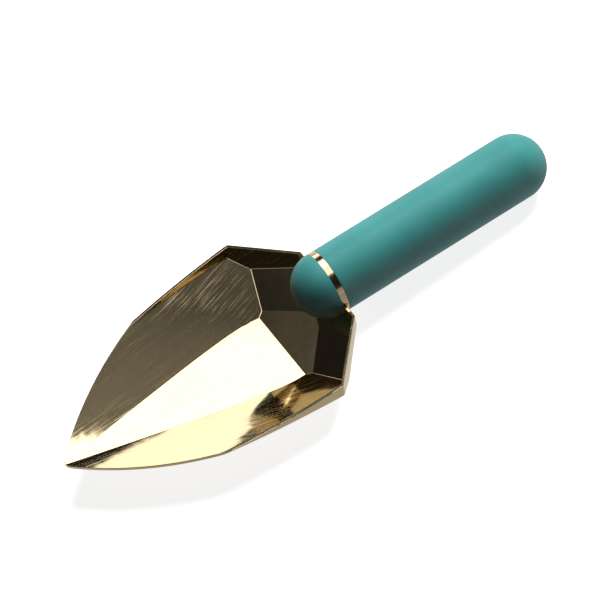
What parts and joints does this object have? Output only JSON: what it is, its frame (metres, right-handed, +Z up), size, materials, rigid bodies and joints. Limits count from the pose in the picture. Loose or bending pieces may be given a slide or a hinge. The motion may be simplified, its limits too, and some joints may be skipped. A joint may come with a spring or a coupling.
{
  "type": "hand trowel",
  "caption": "Faceted brass-plated hand trowel scoop with a pointed tip, a polished brass collar and a round-ended teal soft-touch grip whose nose sits inside the scoop.",
  "frame": {"origin": "under the middle of the tool's overall box, on the surface that it rests on", "axes": "+X along the tool from the scoop's tip to the butt, +Z up with the tool lying as it rests, on the heel of the scoop and on the butt, +Y completing a right-handed frame; the tool is symmetric about Y = 0"},
  "size_m": [0.2846, 0.111, 0.0415],
  "materials": {
    "brass_plate": "mirror-polished brass plate with fine polishing lines",
    "collar_brass": "turned and polished",
    "braze": "as run, brushed smooth",
    "insert_brass": "turned",
    "soft_teal": "matt soft-touch",
    "nose_teal": "matt soft-touch coat",
    "core_wood": "turned beech, unfinished",
    "steel": "zinc-plated",
    "spring_steel": "blackened spring steel"
  },
  "bodies": {
    "root": {"scoop": "brass_plate", "braze_bead": "braze", "collar": "collar_brass", "collar_dowels": "steel", "nose_cap": "nose_teal", "nose_insert": "insert_brass", "front_washer": "steel", "jam_nut": "steel", "tie_rod": "steel", "grip_core": "core_wood", "rear_washer": "steel", "spring_washer": "spring_steel", "rear_nut": "steel", "core_plug": "core_wood", "grip_skin": "soft_teal"}
  },
  "joints": []
}
